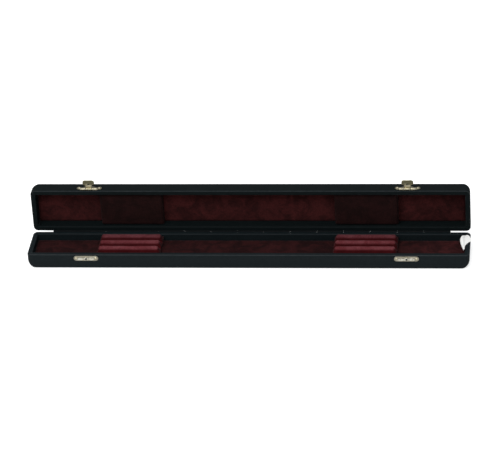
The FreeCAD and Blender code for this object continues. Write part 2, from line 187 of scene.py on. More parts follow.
def lathe(profile, sides, origin, axis, capped):
    # Turns (distance along the axis, radius) steps round the axis
    across = axis.orthogonal().normalized()
    other = axis.cross(across)
    points = []
    for along, radius in profile:
        for side in range(sides):
            angle = 2.0 * math.pi * side / sides
            spoke = across * math.cos(angle) + other * math.sin(angle)
            points.append(origin + axis * along + spoke * radius)
    faces = loftFaces(len(profile), sides, not capped)
    if capped:
        faces.append(tuple(range(sides)))
        faces.append(tuple(range(len(points) - sides, len(points))))
    return points, faces


def thicken(points, faces, thickness):
    # Gives a bent sheet its thickness, half to each side
    normals = [Vector((0.0, 0.0, 0.0)) for point in points]
    uses = {}
    for face in faces:
        first, second, third = (points[index] for index in face[:3])
        normal = (second - first).cross(third - first)
        for index, here in enumerate(face):
            ahead = face[(index + 1) % len(face)]
            normals[here] += normal
            uses.setdefault(frozenset((here, ahead)), []).append((here, ahead))
    half = thickness / 2.0
    shifts = [normal.normalized() * half for normal in normals]
    count = len(points)
    both = [point + shift for point, shift in zip(points, shifts)]
    both += [point - shift for point, shift in zip(points, shifts)]
    sheets = list(faces) + [tuple(count + index for index in reversed(face)) for face in faces]
    for pairs in uses.values():
        if len(pairs) == 1:
            here, ahead = pairs[0]
            sheets.append((ahead, here, count + here, count + ahead))
    return both, sheets


def plateParts(outline, thickness, edge, place, rise=None, hole=None):
    # A plate with a rounded upper edge: flat, or embossed and with a hole in it
    count = len(outline)
    outward = []
    for index in range(count):
        ahead = outline[(index + 1) % count]
        behind = outline[index - 1]
        along = Vector((ahead[0] - behind[0], ahead[1] - behind[1])).normalized()
        outward.append((along.y, -along.x))
    points = []
    steps = [(0.0, 0.0), (0.0, thickness - edge)]
    for degrees in (30, 60, 90):
        angle = math.radians(degrees)
        steps.append((edge * (1.0 - math.cos(angle)), thickness - edge + edge * math.sin(angle)))
    for inset, height in steps:
        for (u, v), (outU, outV) in zip(outline, outward):
            points.append(place(u - outU * inset, v - outV * inset, height))
    if rise:
        inner = [(u - outU * edge, v - outV * edge)
                 for (u, v), (outU, outV) in zip(outline, outward)]
        ringCount = 16
        for ring in range(1, ringCount + 1):
            share = ring / ringCount
            for (u, v), (holeU, holeV) in zip(inner, hole):
                here = (u + (holeU - u) * share, v + (holeV - v) * share)
                points.append(place(*here, thickness + rise(*here)))
        points += [place(*here, 0.0) for here in hole]
        return points, loftFaces(len(steps) + ringCount + 1, count, True)
    faces = loftFaces(len(steps), count, False)
    faces.append(tuple(range(count)))
    faces.append(tuple(range(len(points) - count, len(points))))
    return points, faces


def loosePartBoxes(name):
    # The corners of every loose part of a CAD piece
    work = bmesh.new()
    work.from_mesh(nodes[name].data)
    work.transform(nodes[name].matrix_world)
    bmesh.ops.remove_doubles(work, verts=work.verts, dist=1e-7)
    waiting = set(work.verts)
    boxes = []
    while waiting:
        front = [waiting.pop()]
        reached = list(front)
        while front:
            vertex = front.pop()
            for edge in vertex.link_edges:
                other = edge.other_vert(vertex)
                if other in waiting:
                    waiting.discard(other)
                    front.append(other)
                    reached.append(other)
        low = Vector([min(vertex.co[axis] for vertex in reached) for axis in range(3)])
        high = Vector([max(vertex.co[axis] for vertex in reached) for axis in range(3)])
        boxes.append((low, high))
    work.free()
    return sorted(boxes, key=lambda corners: corners[0].x)


def softenEdges(piece, width):
    bevel = piece.modifiers.new("softEdges", "BEVEL")
    bevel.width = width
    bevel.segments = 2
    bevel.limit_method = "ANGLE"
    bevel.angle_limit = math.radians(40.0)


def wobble(point, size, seed):
    return noise.noise(Vector(point) / size + Vector((seed, seed * 0.37, -seed)))


# Shader helpers

def newGroup(name, inputs, outputs):
    group = bpy.data.node_groups.new(name, "ShaderNodeTree")
    for label, kind, value in inputs:
        socket = group.interface.new_socket(name=label, in_out="INPUT", socket_type=kind)
        socket.default_value = value
    for label, kind in outputs:
        group.interface.new_socket(name=label, in_out="OUTPUT", socket_type=kind)
    entry = group.nodes.new("NodeGroupInput")
    leaving = group.nodes.new("NodeGroupOutput")
    return group, entry, leaving


class Tree:
    def __init__(self, tree):
        self.tree = tree

    def add(self, kind, values=None, links=None, **settings):
        node = self.tree.nodes.new(kind)
        for key, value in settings.items():
            setattr(node, key, value)
        for key, value in (values or {}).items():
            node.inputs[key].default_value = value
        for key, source in (links or {}).items():
            self.tree.links.new(source, node.inputs[key])
        return node

    def math(self, operation, first, second=None, clamp=False):
        node = self.add("ShaderNodeMath", operation=operation, use_clamp=clamp)
        for index, value in enumerate((first, second)):
            if value is None:
                continue
            if isinstance(value, (int, float)):
                node.inputs[index].default_value = value
            else:
                self.tree.links.new(value, node.inputs[index])
        return node.outputs[0]

    def mixColour(self, factor, first, second, blend="MIX"):
        node = self.add("ShaderNodeMix", data_type="RGBA", blend_type=blend)
        for index, value in ((0, factor), (6, first), (7, second)):
            if isinstance(value, (int, float, tuple)):
                node.inputs[index].default_value = value
            else:
                self.tree.links.new(value, node.inputs[index])
        return node.outputs[2]

    def ramp(self, source, stops):
        node = self.add("ShaderNodeValToRGB", links={"Fac": source})
        elements = node.color_ramp.elements
        while len(elements) < len(stops):
            elements.new(0.5)
        for element, (place, colour) in zip(elements, stops):
            element.position = place
            element.color = colour if isinstance(colour, tuple) else (colour, colour, colour, 1.0)
        return node.outputs["Color"]


floatSocket = "NodeSocketFloat"
vectorSocket = "NodeSocketVector"


def makeWearAndHighlightGroup():
    # Mask of the proud edges, broken up by noise
    group, entry, leaving = newGroup(
        "edgeWearAndHighlight",
        [("Vector", vectorSocket, (0, 0, 0)), ("Edge Start", floatSocket, 0.52),
         ("Edge End", floatSocket, 0.6), ("Break Up", floatSocket, 400.0)],
        [("Mask", floatSocket)])
    tree = Tree(group)
    geometry = tree.add("ShaderNodeNewGeometry")
    edge = tree.add("ShaderNodeMapRange",
                    links={"Value": geometry.outputs["Pointiness"],
                           "From Min": entry.outputs["Edge Start"],
                           "From Max": entry.outputs["Edge End"]})
    patches = tree.add("ShaderNodeTexNoise", {"Detail": 4.0, "Roughness": 0.7},
                       {"Vector": entry.outputs["Vector"], "Scale": entry.outputs["Break Up"]})
    broken = tree.math("SUBTRACT", patches.outputs["Fac"], 0.28)
    broken = tree.math("MULTIPLY", broken, 2.0, clamp=True)
    mask = tree.math("MULTIPLY", edge.outputs["Result"], broken, clamp=True)
    group.links.new(mask, leaving.inputs["Mask"])
    return group


def makeGrainGroup():
    # Pebbled grain of leatherette: small raised cells with creases between them
    group, entry, leaving = newGroup(
        "pebbleGrain",
        [("Vector", vectorSocket, (0, 0, 0)), ("Cells", floatSocket, 1100.0),
         ("Creases", floatSocket, 0.5)],
        [("Height", floatSocket), ("Crease", floatSocket)])
    tree = Tree(group)
    bend = tree.add("ShaderNodeTexNoise", {"Scale": 300.0, "Detail": 2.0},
                    {"Vector": entry.outputs["Vector"]})
    shift = tree.add("ShaderNodeVectorMath", {1: (0.0012, 0.0012, 0.0012)},
                     {0: bend.outputs["Color"]}, operation="MULTIPLY")
    moved = tree.add("ShaderNodeVectorMath", links={0: entry.outputs["Vector"],
                                                    1: shift.outputs[0]}, operation="ADD")
    cells = tree.add("ShaderNodeTexVoronoi", {"Randomness": 0.9},
                     {"Vector": moved.outputs[0], "Scale": entry.outputs["Cells"]},
                     feature="DISTANCE_TO_EDGE")
    crease = tree.add("ShaderNodeMapRange", {"From Min": 0.0, "From Max": 0.22},
                      {"Value": cells.outputs["Distance"]}, interpolation_type="SMOOTHSTEP")
    fine = tree.add("ShaderNodeTexNoise", {"Scale": 4200.0, "Detail": 3.0},
                    {"Vector": entry.outputs["Vector"]})
    height = tree.math("MULTIPLY", crease.outputs["Result"], entry.outputs["Creases"])
    height = tree.math("ADD", height, tree.math("MULTIPLY", fine.outputs["Fac"], 0.3))
    group.links.new(height, leaving.inputs["Height"])
    inverse = tree.math("SUBTRACT", 1.0, crease.outputs["Result"])
    group.links.new(inverse, leaving.inputs["Crease"])
    return group


def makeNapGroup():
    # Short pile: brushed patches that look lighter or darker, and the pile's own speckle
    group, entry, leaving = newGroup(
        "plushNap",
        [("Vector", vectorSocket, (0, 0, 0)), ("Patches", floatSocket, 60.0),
         ("Pile", floatSocket, 1800.0)],
        [("Brushed", floatSocket), ("Speckle", floatSocket), ("Height", floatSocket)])
    tree = Tree(group)
    patches = tree.add("ShaderNodeTexNoise", {"Detail": 3.0, "Roughness": 0.6,
                                              "Distortion": 0.8},
                       {"Vector": entry.outputs["Vector"], "Scale": entry.outputs["Patches"]})
    brushed = tree.add("ShaderNodeMapRange", {"From Min": 0.32, "From Max": 0.68},
                       {"Value": patches.outputs["Fac"]}, interpolation_type="SMOOTHSTEP")
    pile = tree.add("ShaderNodeTexVoronoi", {"Randomness": 1.0},
                    {"Vector": entry.outputs["Vector"], "Scale": entry.outputs["Pile"]})
    speckle = tree.add("ShaderNodeTexNoise", {"Scale": 700.0, "Detail": 5.0, "Roughness": 0.8},
                       {"Vector": entry.outputs["Vector"]})
    height = tree.math("SUBTRACT", 1.0, pile.outputs["Distance"])
    height = tree.math("ADD", tree.math("MULTIPLY", height, 0.6), speckle.outputs["Fac"])
    group.links.new(brushed.outputs["Result"], leaving.inputs["Brushed"])
    group.links.new(speckle.outputs["Fac"], leaving.inputs["Speckle"])
    group.links.new(height, leaving.inputs["Height"])
    return group


def makeSmudgeGroup():
    # Uneven gloss from handling
    group, entry, leaving = newGroup(
        "handlingSmudges",
        [("Vector", vectorSocket, (0, 0, 0)), ("Size", floatSocket, 90.0),
         ("Low", floatSocket, 0.3), ("High", floatSocket, 0.5)],
        [("Roughness", floatSocket)])
    tree = Tree(group)
    smudges = tree.add("ShaderNodeTexNoise", {"Detail": 5.0, "Roughness": 0.65},
                       {"Vector": entry.outputs["Vector"], "Scale": entry.outputs["Size"]})
    spread = tree.add("ShaderNodeMapRange", {"From Min": 0.3, "From Max": 0.7},
                      {"Value": smudges.outputs["Fac"], "To Min": entry.outputs["Low"],
                       "To Max": entry.outputs["High"]})
    group.links.new(spread.outputs["Result"], leaving.inputs["Roughness"])
    return group


wearAndHighlightGroup = makeWearAndHighlightGroup()
grainGroup = makeGrainGroup()
napGroup = makeNapGroup()
smudgeGroup = makeSmudgeGroup()


def startMaterial(name, displayColour):
    material = bpy.data.materials.new(name)
    material.use_nodes = True
    material.diffuse_color = displayColour
    tree = Tree(material.node_tree)
    shader = material.node_tree.nodes["Principled BSDF"]
    place = tree.add("ShaderNodeTexCoord").outputs["Object"]
    return material, tree, shader, place


def useGroup(tree, group, place, **values):
    node = tree.add("ShaderNodeGroup", node_tree=group)
    tree.tree.links.new(place, node.inputs["Vector"])
    for key, value in values.items():
        node.inputs[key.replace("_", " ")].default_value = value
    return node


def addBump(tree, shader, height, strength, distance):
    bump = tree.add("ShaderNodeBump", {"Strength": strength, "Distance": distance},
                    {"Height": height})
    tree.tree.links.new(bump.outputs["Normal"], shader.inputs["Normal"])
    return bump


def setInputs(shader, values):
    for key, value in values.items():
        shader.inputs[key].default_value = value


leatheretteLook = {
    # The lid's leatherette is a darker, less shiny copy of the base's: a painted shade for the
    # lid, where less light falls.
    "litAndShadedTones": {                 # darkest and lightest tone, and how much it shines
        "base": ((0.0062, 0.0108, 0.0128, 1.0), (0.0090, 0.0145, 0.0168, 1.0), 0.12),
        "lid": ((0.0046, 0.0078, 0.0084, 1.0), (0.0066, 0.0104, 0.0110, 1.0), 0.05),
    },
    # The lighter edge tone goes on the proud edges and the rim's outer edge: partly real wear and
    # rubbing, partly a painted highlight along the rims.
    "wornAndHighlit": (0.036, 0.040, 0.044, 1.0),
    "rubbedAndHighlit": 0.85,             # how much of the lighter edge tone shows on the rim's outer edge
    "cells": 1150.0,
    "bump": 0.35,
    "roughness": (0.48, 0.66),
}


def makeLeatherette(trayName):
    look = leatheretteLook
    # Each tray gets its own copy of the tones; the lid's darker copy is a painted shade.
    dark, light, shine = look["litAndShadedTones"][trayName]
    material, tree, shader, place = startMaterial(trayName + "Leatherette", look["wornAndHighlit"])
    grain = useGroup(tree, grainGroup, place, Cells=look["cells"], Creases=0.7)
    wear = useGroup(tree, wearAndHighlightGroup, place, Edge_Start=0.515, Edge_End=0.60, Break_Up=260.0)
    tone = tree.add("ShaderNodeTexNoise", {"Scale": 55.0, "Detail": 4.0, "Roughness": 0.6},
                    {"Vector": place})
    colour = tree.mixColour(tone.outputs["Fac"], dark, light)
    # The grain's creases are painted darker, a painted shade in the hollows.
    creaseShaded = tree.mixColour(grain.outputs["Crease"], colour, (0.55, 0.55, 0.55, 1.0),
                             "MULTIPLY")
    # Lighter edge tone on the proud edges and the rim's outer rounding: partly wear and rubbing,
    # partly a painted highlight along the rims.
    rubbedAndHighlit = tree.add("ShaderNodeAttribute", attribute_name="rubbedAndHighlit").outputs["Fac"]
    scuffs = tree.add("ShaderNodeTexNoise", {"Scale": 330.0, "Detail": 5.0, "Roughness": 0.7},
                      {"Vector": place})
    scuffs = tree.ramp(scuffs.outputs["Fac"], [(0.3, 0.35), (0.6, 1.0)])
    rubbedAndHighlit = tree.math("MULTIPLY", rubbedAndHighlit, scuffs, clamp=True)
    share = tree.math("MULTIPLY", wear.outputs["Mask"], 0.7)
    share = tree.math("MAXIMUM", share, tree.math("MULTIPLY", rubbedAndHighlit, look["rubbedAndHighlit"]))
    colour = tree.mixColour(share, creaseShaded, look["wornAndHighlit"])
    tree.tree.links.new(colour, shader.inputs["Base Color"])
    low, high = look["roughness"]
    gloss = useGroup(tree, smudgeGroup, place, Size=60.0, Low=low, High=high)
    tree.tree.links.new(gloss.outputs["Roughness"], shader.inputs["Roughness"])
    addBump(tree, shader, grain.outputs["Height"], look["bump"], 0.00012)
    setInputs(shader, {"Specular IOR Level": shine})
    return material


# One plush in four lit and shaded copies, toned for how light falls where each lies: the raised
# rests lightest, the recessed base lining and the pads darkest.
litAndShadedPlushLooks = {
    "liningPlush": {"pile": (0.010, 0.0023, 0.0025, 1.0), "brushed": (0.027, 0.0056, 0.0058, 1.0),
                    "sheen": 0.03, "lighterTo": 1.8},
    # The lid's lighterTo below 1 darkens its right end, a painted shade by the end wall.
    "lidPlush": {"pile": (0.022, 0.0050, 0.0050, 1.0), "brushed": (0.047, 0.0094, 0.0094, 1.0),
                 "sheen": 0.03, "lighterTo": 0.8},
    "padPlush": {"pile": (0.0085, 0.0028, 0.0026, 1.0), "brushed": (0.015, 0.0044, 0.0042, 1.0),
                 "sheen": 0.02, "lighterTo": 1.0},
    "restPlush": {"pile": (0.094, 0.0170, 0.0205, 1.0), "brushed": (0.130, 0.0330, 0.0385, 1.0),
                  # The groove tone darkens the plush low between the ribs, a painted shade in the
                  # grooves.
                  "sheen": 0.05, "lighterTo": 1.0, "groove": (0.30, 0.06, 0.08, 1.0),
                  # The rear tone darkens the rear rib, a painted shadow from the lid.
                  "grooveShadeLevels": (16.5 * mm, 18.5 * mm), "rear": (0.74, 0.84, 0.86, 1.0)},
}


def makePlush(name):
    look = litAndShadedPlushLooks[name]
    material, tree, shader, place = startMaterial(name, look["brushed"])
    nap = useGroup(tree, napGroup, place, Patches=75.0, Pile=1900.0)
    colour = tree.mixColour(nap.outputs["Brushed"], look["pile"], look["brushed"])
    speckle = tree.ramp(nap.outputs["Speckle"], [(0.3, 0.62), (0.7, 1.35)])
    colour = tree.mixColour(1.0, colour, speckle, "MULTIPLY")
    # Towards the right end the tone is scaled to lighterTo; on the lid this darkening is a
    # painted shade by the end wall.
    along = tree.add("ShaderNodeSeparateXYZ", links={"Vector": place})
    lighter = tree.add("ShaderNodeMapRange",
                       {"From Min": 0.15, "From Max": 0.21, "To Min": 1.0,
                        "To Max": look["lighterTo"]},
                       {"Value": along.outputs["X"]}, interpolation_type="SMOOTHSTEP")
    combined = tree.add("ShaderNodeCombineColor", links={0: lighter.outputs["Result"],
                                                         1: lighter.outputs["Result"],
                                                         2: lighter.outputs["Result"]})
    colour = tree.mixColour(1.0, colour, combined.outputs["Color"], "MULTIPLY")
    # Painted shade: the plush is darkened low between the ribs, below the given levels.
    if "grooveShadeLevels" in look:
        low, high = look["grooveShadeLevels"]
        depth = tree.add("ShaderNodeMapRange",
                         {"From Min": low, "From Max": high, "To Min": 0.0, "To Max": 1.0},
                         {"Value": along.outputs["Z"]}, interpolation_type="SMOOTHSTEP")
        paintedGrooveShade = tree.mixColour(1.0, colour, look["groove"], "MULTIPLY")
        colour = tree.mixColour(depth.outputs["Result"], paintedGrooveShade, colour)
        # Painted shadow from the lid: the plush darkens towards the rear rib.
        rear = tree.add("ShaderNodeMapRange", {"From Min": 4.0 * mm, "From Max": 13.0 * mm},
                        {"Value": along.outputs["Y"]}, interpolation_type="SMOOTHSTEP")
        colour = tree.mixColour(rear.outputs["Result"], colour,
                                tree.mixColour(1.0, colour, look["rear"], "MULTIPLY"))
    tree.tree.links.new(colour, shader.inputs["Base Color"])
    addBump(tree, shader, nap.outputs["Height"], 0.6, 0.0003)
    setInputs(shader, {"Roughness": 0.95, "Specular IOR Level": 0.08,
                       "Sheen Weight": look["sheen"], "Sheen Roughness": 0.45,
                       "Sheen Tint": (0.95, 0.62, 0.66, 1.0)})
    return material


metalLooks = {
    "plainBrass": {"colour": (0.83, 0.77, 0.58, 1.0), "tarnish": (0.36, 0.31, 0.17, 1.0),
                   "roughness": (0.26, 0.44), "wear": (0.98, 0.95, 0.84, 1.0)},
    "catchBrass": {"colour": (0.80, 0.78, 0.68, 1.0), "tarnish": (0.36, 0.31, 0.17, 1.0),
                   "roughness": (0.24, 0.40), "wear": (0.98, 0.95, 0.84, 1.0),
                   # The darker tone, set along an axis between two levels, is a painted shade: on
                   # the catch plates it darkens what lies nearer the case, in the slot and along
                   # the edges.
                   "paintedShade": (0.36, 0.33, 0.25, 1.0), "axis": "Y",
                   "levels": (-24.38 * mm, -24.12 * mm)},
    # The latch plates and levers on the lid are darker copies of the same brass, a painted shade
    # for the little light they reflect.
    "latchBrass": {"colour": (0.36, 0.325, 0.225, 1.0), "tarnish": (0.20, 0.17, 0.09, 1.0),
                   "roughness": (0.26, 0.42), "wear": (0.92, 0.88, 0.74, 1.0)},
    "leverBrass": {"colour": (0.40, 0.36, 0.24, 1.0), "tarnish": (0.22, 0.19, 0.10, 1.0),
                   "roughness": (0.28, 0.46), "wear": (0.72, 0.67, 0.50, 1.0),
                   # On the levers the darker tone goes on the tab, a painted shade.
                   "paintedShade": (0.135, 0.125, 0.075, 1.0), "axis": "Z",
                   "levels": (68.6 * mm, 69.6 * mm)},
    "brassNails": {"colour": (0.80, 0.72, 0.50, 1.0), "tarnish": (0.34, 0.28, 0.14, 1.0),
                   "roughness": (0.22, 0.36), "wear": (0.98, 0.95, 0.84, 1.0)},
}


def makeBrass(name):
    look = metalLooks[name]
    material, tree, shader, place = startMaterial(name, look["colour"])
    stains = tree.add("ShaderNodeTexNoise", {"Scale": 420.0, "Detail": 5.0, "Roughness": 0.7},
                      {"Vector": place})
    tarnish = tree.add("ShaderNodeMapRange", {"From Min": 0.46, "From Max": 0.74},
                       {"Value": stains.outputs["Fac"]}, interpolation_type="SMOOTHSTEP")
    colour = tree.mixColour(tarnish.outputs["Result"], look["colour"], look["tarnish"])
    # Painted shade: past the given levels along the axis the brass takes the darker tone.
    if "paintedShade" in look:
        start, end = look["levels"]
        along = tree.add("ShaderNodeSeparateXYZ", links={"Vector": place})
        paintedShade = tree.add("ShaderNodeMapRange", {"From Min": start, "From Max": end},
                        {"Value": along.outputs[look["axis"]]}, interpolation_type="SMOOTHSTEP")
        colour = tree.mixColour(paintedShade.outputs["Result"], colour, look["paintedShade"])
    wear = useGroup(tree, wearAndHighlightGroup, place, Edge_Start=0.52, Edge_End=0.62, Break_Up=600.0)
    colour = tree.mixColour(wear.outputs["Mask"], colour, look["wear"])
    tree.tree.links.new(colour, shader.inputs["Base Color"])
    low, high = look["roughness"]
    gloss = useGroup(tree, smudgeGroup, place, Size=500.0, Low=low, High=high)
    tree.tree.links.new(gloss.outputs["Roughness"], shader.inputs["Roughness"])
    brushed = tree.add("ShaderNodeMapping", {"Scale": (300.0, 6000.0, 6000.0)},
                       {"Vector": place})
    lines = tree.add("ShaderNodeTexNoise", {"Scale": 1.0, "Detail": 3.0},
                     {"Vector": brushed.outputs["Vector"]})
    addBump(tree, shader, lines.outputs["Fac"], 0.15, 0.00004)
    setInputs(shader, {"Metallic": 1.0})
    return material


def makeBlackSteel():
    material, tree, shader, place = startMaterial("blackSteel", (0.02, 0.022, 0.025, 1.0))
    wear = useGroup(tree, wearAndHighlightGroup, place, Edge_Start=0.53, Edge_End=0.66, Break_Up=500.0)
    mottle = tree.add("ShaderNodeTexNoise", {"Scale": 900.0, "Detail": 4.0}, {"Vector": place})
    colour = tree.mixColour(mottle.outputs["Fac"], (0.0035, 0.0050, 0.0058, 1.0),
                            (0.0080, 0.0100, 0.0110, 1.0))
    share = tree.math("MULTIPLY", wear.outputs["Mask"], 0.12)
    colour = tree.mixColour(share, colour, (0.05, 0.05, 0.05, 1.0))
    tree.tree.links.new(colour, shader.inputs["Base Color"])
    gloss = useGroup(tree, smudgeGroup, place, Size=300.0, Low=0.62, High=0.74)
    tree.tree.links.new(gloss.outputs["Roughness"], shader.inputs["Roughness"])
    addBump(tree, shader, mottle.outputs["Fac"], 0.1, 0.00005)
    setInputs(shader, {"Specular IOR Level": 0.02})
    return material


def makeWood():
    material, tree, shader, place = startMaterial("limeWood", (0.62, 0.47, 0.3, 1.0))
    stretched = tree.add("ShaderNodeMapping", {"Scale": (12.0, 260.0, 260.0)}, {"Vector": place})
    grain = tree.add("ShaderNodeTexNoise", {"Scale": 1.0, "Detail": 8.0, "Roughness": 0.65,
                                            "Distortion": 0.6},
                     {"Vector": stretched.outputs["Vector"]})
    colour = tree.ramp(grain.outputs["Fac"], [(0.3, (0.50, 0.35, 0.20, 1.0)),
                                              (0.62, (0.70, 0.55, 0.37, 1.0))])
    tree.tree.links.new(colour, shader.inputs["Base Color"])
    rough = tree.ramp(grain.outputs["Fac"], [(0.3, 0.75), (0.7, 0.6)])
    tree.tree.links.new(rough, shader.inputs["Roughness"])
    addBump(tree, shader, grain.outputs["Fac"], 0.3, 0.0001)
    return material


def makeCard():
    material, tree, shader, place = startMaterial("greyCard", (0.42, 0.4, 0.37, 1.0))
    fibres = tree.add("ShaderNodeTexNoise", {"Scale": 900.0, "Detail": 6.0, "Distortion": 1.5},
                      {"Vector": place})
    colour = tree.ramp(fibres.outputs["Fac"], [(0.35, (0.34, 0.32, 0.29, 1.0)),
                                               (0.65, (0.48, 0.46, 0.42, 1.0))])
    tree.tree.links.new(colour, shader.inputs["Base Color"])
    rough = tree.ramp(fibres.outputs["Fac"], [(0.3, 0.8), (0.7, 0.92)])
    tree.tree.links.new(rough, shader.inputs["Roughness"])
    addBump(tree, shader, fibres.outputs["Fac"], 0.3, 0.00008)
    return material


def makeWadding():
    material, tree, shader, place = startMaterial("wadding", (0.72, 0.7, 0.64, 1.0))
    fluff = tree.add("ShaderNodeTexNoise", {"Scale": 420.0, "Detail": 7.0, "Roughness": 0.75},
                     {"Vector": place})
    colour = tree.ramp(fluff.outputs["Fac"], [(0.3, (0.60, 0.57, 0.50, 1.0)),
                                              (0.7, (0.80, 0.78, 0.72, 1.0))])
    tree.tree.links.new(colour, shader.inputs["Base Color"])
    rough = tree.ramp(fluff.outputs["Fac"], [(0.3, 0.9), (0.7, 1.0)])
    tree.tree.links.new(rough, shader.inputs["Roughness"])
    addBump(tree, shader, fluff.outputs["Fac"], 0.8, 0.0004)
    return material


def makePaper():
    material, tree, shader, place = startMaterial("tagPaper", (0.9, 0.9, 0.88, 1.0))
    fibres = tree.add("ShaderNodeTexNoise", {"Scale": 1500.0, "Detail": 5.0}, {"Vector": place})
    colour = tree.ramp(fibres.outputs["Fac"], [(0.3, (0.92, 0.915, 0.885, 1.0)),
                                               (0.7, (0.98, 0.975, 0.945, 1.0))])
    tree.tree.links.new(colour, shader.inputs["Base Color"])
    rough = tree.ramp(fibres.outputs["Fac"], [(0.3, 0.6), (0.7, 0.75)])
    tree.tree.links.new(rough, shader.inputs["Roughness"])
    addBump(tree, shader, fibres.outputs["Fac"], 0.15, 0.00005)
    return material


leatherette = {name: makeLeatherette(name) for name in trays}
plush = {name: makePlush(name) for name in litAndShadedPlushLooks}
plainBrass = makeBrass("plainBrass")
catchBrass = makeBrass("catchBrass")
latchBrass = makeBrass("latchBrass")
leverBrass = makeBrass("leverBrass")
brassNails = makeBrass("brassNails")
blackSteel = makeBlackSteel()
wood = makeWood()
card = makeCard()
wadding = makeWadding()
tagPaper = makePaper()
print("materials made")

carriedOver = {
    "leatherette": leatherette["base"], "wood": wood, "card": card, "foam": wadding,
    "brass": plainBrass, "brass_nails": brassNails, "black_steel": blackSteel,
    "plush": plush["liningPlush"], "paper": tagPaper,
}
for subpart in frame["record"]["subparts"]:
    mesh = nodes[subpart["node"]].data
    mesh.materials.clear()
    onLatch = subpart["node"].startswith(("latch_plate", "latch_lever", "latch_pin"))
    mesh.materials.append(latchBrass if onLatch else carriedOver[subpart["material_slot"]])


# Leatherette covering of a tray: over the outside and the rim and down the inner walls
coverShape = {
    "thickness": 0.6 * mm,
    "rimOuter": 1.1 * mm,
    "rimInner": 0.9 * mm,
    "upright": 4.8 * mm,
    "closedEdge": 1.5 * mm,
    "end": 9.0 * mm,
    "cornerFall": 1.65,         # how soon the corners tighten along the end roundings
    "innerCorner": 0.9 * mm,
    "turnedIn": 0.2 * mm,       # how far the turned-in edge lies below the outer sheet
    "pocketEnd": 12.0 * mm,
    "pocketSide": 5.0 * mm,
    "pocketCorner": 3.4 * mm,
    "steps": (110, 12, 9),      # along, across, round a corner
    "softness": 0.05 * mm,
}


def coveringLevels(tray):
    shape = coverShape
    levels = []                 # half length, half width, corner radius, depth, outside or not

    def level(inX, inY, corner, depth, outside):
        levels.append((halfLength - inX, halfWidth - inY, corner, depth, outside))

    inner = wall
    for depth in (tray["board"], tray["lining"], tray["lining"] * 0.55, shape["rimInner"] * 1.6):
        level(inner, inner, shape["innerCorner"], depth, 0.4)
    for step in range(6):
        angle = math.radians(90.0 * step / 5)
        away = shape["rimInner"] * (1.0 - math.cos(angle))
        level(inner - away, inner - away, shape["innerCorner"] + away,
              shape["rimInner"] * (1.0 - math.sin(angle)), 1.0)
    middle = (inner - shape["rimInner"] + shape["rimOuter"]) / 2.0
    level(middle, middle, shape["upright"] - middle, 0.0, 1.0)
    for step in range(7):
        angle = math.radians(90.0 * step / 6)
        away = shape["rimOuter"] * (1.0 - math.sin(angle))
        level(away, away, shape["upright"] - away, shape["rimOuter"] * (1.0 - math.cos(angle)),
              1.0)
    closed = tray["depth"] - shape["turnedIn"]
    start = closed - shape["end"]
    for part in (0.35, 0.7):
        depth = shape["rimOuter"] + (start - shape["rimOuter"]) * part
        level(0.0, 0.0, shape["upright"], depth, 1.0)
    bend = shape["closedEdge"]
    for step in range(17):
        angle = math.radians(90.0 * step / 16)
        depth = start + shape["end"] * math.sin(angle)
        side = max(0.0, depth - closed + bend)
        inY = bend - math.sqrt(max(0.0, bend * bend - side * side))
        corner = bend + (shape["upright"] - bend) * (1.0 - step / 16) ** shape["cornerFall"]
        level(shape["end"] * (1.0 - math.cos(angle)), inY, corner, depth, 1.0)
    hidden = closed - shape["thickness"]
    level(shape["pocketEnd"], shape["pocketSide"], shape["pocketCorner"], closed, 0.0)
    level(shape["pocketEnd"], shape["pocketSide"], shape["pocketCorner"], hidden, 0.0)
    level(shape["end"], shape["thickness"] + bend * 0.5, bend, hidden, 0.0)
    for angle in (60.0, 30.0, 0.0):
        turn = math.radians(angle)
        inner = shape["thickness"] + (shape["end"] - shape["thickness"]) * (1 - math.cos(turn))
        level(inner, shape["thickness"], shape["upright"] - shape["thickness"],
              start + (shape["end"] - shape["thickness"]) * math.sin(turn), 0.0)
    top = shape["thickness"]
    level(top, top, shape["upright"] - top, top, 0.0)
    inner = wall - top
    level(inner, inner, shape["innerCorner"], top, 0.0)
    level(inner, inner, shape["innerCorner"], tray["board"], 0.0)
    return levels


def makeCovering(name, seed):
    tray = trays[name]
    points = []
    rubbedAndHighlit = []
    levels = coveringLevels(tray)
    for halfX, halfY, corner, depth, outside in levels:
        away = halfLength - halfX
        # Points on the rim's outer rounding get a share of the lighter edge tone: partly rubbing,
        # partly a painted highlight.
        onEdge = outside == 1.0 and max(away, depth) < coverShape["rimOuter"] * 1.01
        edgeShare = 1.0 - abs(away - depth) / (0.8 * coverShape["rimOuter"]) if onEdge else 0.0
        for x, y in roundedRing(halfX, halfY, corner, coverShape["steps"]):
            sink = coverShape["softness"] * outside
            soft = sink * (0.5 + 0.5 * wobble((x, y, depth), 14 * mm, seed))
            soft += sink * 0.5 * wobble((x, y, depth), 4 * mm, seed + 5)
            nearRim = 1.0 if depth < coverShape["rimOuter"] else 0.0
            inward = 1.0 if halfX > halfLength - wall + 0.1 * mm else -1.0
            scale = 1.0 - soft * inward * (1.0 - nearRim) / max(halfY, 1e-6)
            points.append(tray["place"](x - math.copysign(soft * inward * (1.0 - nearRim), x),
                                        y * scale, depth + soft * nearRim))
            rubbedAndHighlit.append(max(0.0, edgeShare))
    ringLength = len(points) // len(levels)
    return makePiece(name + "Covering", points, loftFaces(len(levels), ringLength, True),
                     leatherette[name], name, [name + "_side_covering"],
                     rubbedAndHighlit)


for seed, trayName in enumerate(trays):
    makeCovering(trayName, 3.0 + seed)
print("coverings made")


# Sheet glued over the closed side of each tray
sheetShape = {
    "corner": 3.4 * mm,
    "edge": 0.22 * mm,
    "steps": (60, 8, 8),
}


